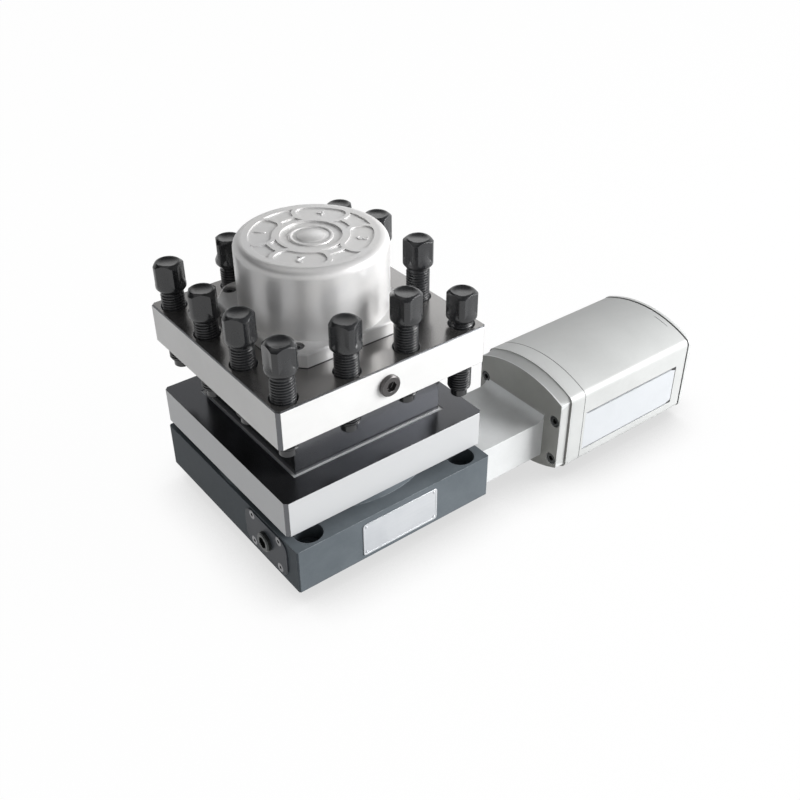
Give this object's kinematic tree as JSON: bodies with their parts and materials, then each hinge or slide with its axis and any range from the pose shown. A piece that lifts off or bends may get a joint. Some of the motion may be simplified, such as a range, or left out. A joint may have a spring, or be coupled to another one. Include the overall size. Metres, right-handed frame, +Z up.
{
  "type": "lathe tool turret",
  "caption": "Square electric tool turret for a lathe: a body with open tool slots under clamp bolts, on a flat base with a side-mounted motor.",
  "frame": {"origin": "turret axis at the underside of the base", "axes": "+Z up along the turret axis, +X along the worm towards the motor, -Y the front face"},
  "size_m": [0.366, 0.1831, 0.2092],
  "materials": {
    "base_casting": "satin dark blue-grey",
    "turret_steel": "ground, dark on the faces",
    "blackened_steel": "black oxide",
    "cap_metal": "satin silver-grey",
    "motor_alloy": "light silver-grey",
    "strip_metal": "plain",
    "seat_alloy": "satin grey",
    "cover_paint": "satin dark blue-grey",
    "screw_steel": "plain steel",
    "plug_steel": "dark",
    "gear_steel": "ground",
    "wheel_bronze": "machined",
    "shaft_steel": "turned",
    "bearing_steel": "polished",
    "seal_rubber": "black",
    "core_iron": "laminated",
    "winding": "varnished copper wire",
    "board": "green board"
  },
  "bodies": {
    "base": {"ball_bearings": "bearing_steel", "base_housing": "base_casting", "centre_shaft": "shaft_steel", "connecting_seat": "seat_alloy", "dust_seal": "seal_rubber", "end_cap_screws": "screw_steel", "end_cover_screws": "screw_steel", "fixed_tooth_ring": "gear_steel", "foot_screws": "screw_steel", "guide_pins": "gear_steel", "lower_thrust_bearing": "bearing_steel", "motor_end_cap": "motor_alloy", "motor_front_bell": "motor_alloy", "motor_housing": "motor_alloy", "plate_screws": "screw_steel", "rear_bracket": "motor_alloy", "seat_screws": "screw_steel", "sensor_board": "board", "sensor_nut": "gear_steel", "shaft_nut": "gear_steel", "side_strip": "strip_metal", "stator_core": "core_iron", "stator_shell": "shaft_steel", "stator_windings": "winding", "top_thrust_bearing": "bearing_steel", "worm_access_plug": "plug_steel", "worm_end_cover": "cover_paint"},
    "turret": {"turret_body": "turret_steel", "turret_tooth_ring": "gear_steel", "turret_ring_screws": "screw_steel", "turret_bush": "wheel_bronze", "turret_cap": "cap_metal", "cap_screws": "screw_steel", "cap_gasket": "seal_rubber", "side_plug": "plug_steel", "magnet_holder": "cap_metal", "pin_springs": "gear_steel"},
    "wheel": {"worm_wheel": "wheel_bronze", "lifting_sleeve": "gear_steel", "drive_keys": "gear_steel", "clutch_disc": "gear_steel"},
    "worm": {"worm_shaft": "gear_steel", "coupling_hubs": "shaft_steel", "coupling_spider": "seal_rubber", "motor_shaft": "shaft_steel", "motor_rotor": "core_iron"},
    "locking_ring": {"locking_ring": "gear_steel"},
    "clutch_pins": {"clutch_pins": "gear_steel"},
    "clamp_bolt_01": {"clamp_bolt_01": "blackened_steel"},
    "clamp_bolt_02": {"clamp_bolt_02": "blackened_steel"},
    "clamp_bolt_03": {"clamp_bolt_03": "blackened_steel"},
    "clamp_bolt_04": {"clamp_bolt_04": "blackened_steel"},
    "clamp_bolt_05": {"clamp_bolt_05": "blackened_steel"},
    "clamp_bolt_06": {"clamp_bolt_06": "blackened_steel"},
    "clamp_bolt_07": {"clamp_bolt_07": "blackened_steel"},
    "clamp_bolt_08": {"clamp_bolt_08": "blackened_steel"},
    "clamp_bolt_09": {"clamp_bolt_09": "blackened_steel"},
    "clamp_bolt_10": {"clamp_bolt_10": "blackened_steel"},
    "clamp_bolt_11": {"clamp_bolt_11": "blackened_steel"},
    "clamp_bolt_12": {"clamp_bolt_12": "blackened_steel"}
  },
  "joints": [
    {"name": "turret_index", "type": "hinge", "parent": "base", "child": "turret", "pos_m": [0, 0, 0.09], "axis": [0, 0, 1], "continuous": true},
    {"name": "wheel_spin", "type": "hinge", "parent": "base", "child": "wheel", "pos_m": [0, 0, 0.0187], "axis": [0, 0, 1], "continuous": true},
    {"name": "worm_spin", "type": "hinge", "parent": "base", "child": "worm", "pos_m": [0, -0.0525, 0.0187], "axis": [1, 0, 0], "continuous": true},
    {"name": "locking_ring_travel", "type": "slide", "parent": "base", "child": "locking_ring", "axis": [0, 0, -1], "range_m": [0, 0.0045]},
    {"name": "clutch_pin_travel", "type": "slide", "parent": "turret", "child": "clutch_pins", "axis": [0, 0, 1], "range_m": [-0.0035, 0], "stiffness_N_per_m": 2000, "springref_m": 0.002, "deforming": ["pin_springs"]},
    {"name": "clamp_bolt_01_travel", "type": "slide", "parent": "turret", "child": "clamp_bolt_01", "axis": [0, 0, 1], "range_m": [-0.0114, 0.031]},
    {"name": "clamp_bolt_02_travel", "type": "slide", "parent": "turret", "child": "clamp_bolt_02", "axis": [0, 0, 1], "range_m": [-0.011, 0.0314]},
    {"name": "clamp_bolt_03_travel", "type": "slide", "parent": "turret", "child": "clamp_bolt_03", "axis": [0, 0, 1], "range_m": [-0.015, 0.0274]},
    {"name": "clamp_bolt_04_travel", "type": "slide", "parent": "turret", "child": "clamp_bolt_04", "axis": [0, 0, 1], "range_m": [-0.0172, 0.0252]},
    {"name": "clamp_bolt_05_travel", "type": "slide", "parent": "turret", "child": "clamp_bolt_05", "axis": [0, 0, 1], "range_m": [-0.015, 0.0274]},
    {"name": "clamp_bolt_06_travel", "type": "slide", "parent": "turret", "child": "clamp_bolt_06", "axis": [0, 0, 1], "range_m": [-0.0179, 0.0245]},
    {"name": "clamp_bolt_07_travel", "type": "slide", "parent": "turret", "child": "clamp_bolt_07", "axis": [0, 0, 1], "range_m": [-0.003, 0.0394]},
    {"name": "clamp_bolt_08_travel", "type": "slide", "parent": "turret", "child": "clamp_bolt_08", "axis": [0, 0, 1], "range_m": [-0.0224, 0.02]},
    {"name": "clamp_bolt_09_travel", "type": "slide", "parent": "turret", "child": "clamp_bolt_09", "axis": [0, 0, 1], "range_m": [-0.0226, 0.0198]},
    {"name": "clamp_bolt_10_travel", "type": "slide", "parent": "turret", "child": "clamp_bolt_10", "axis": [0, 0, 1], "range_m": [-0.0136, 0.0288]},
    {"name": "clamp_bolt_11_travel", "type": "slide", "parent": "turret", "child": "clamp_bolt_11", "axis": [0, 0, 1], "range_m": [-0.0164, 0.026]},
    {"name": "clamp_bolt_12_travel", "type": "slide", "parent": "turret", "child": "clamp_bolt_12", "axis": [0, 0, 1], "range_m": [-0.015, 0.0274]}
  ],
  "couplings": [
    {"joint": "wheel_spin", "follows": "turret_index", "ratio": 1},
    {"joint": "worm_spin", "follows": "turret_index", "ratio": -34}
  ]
}
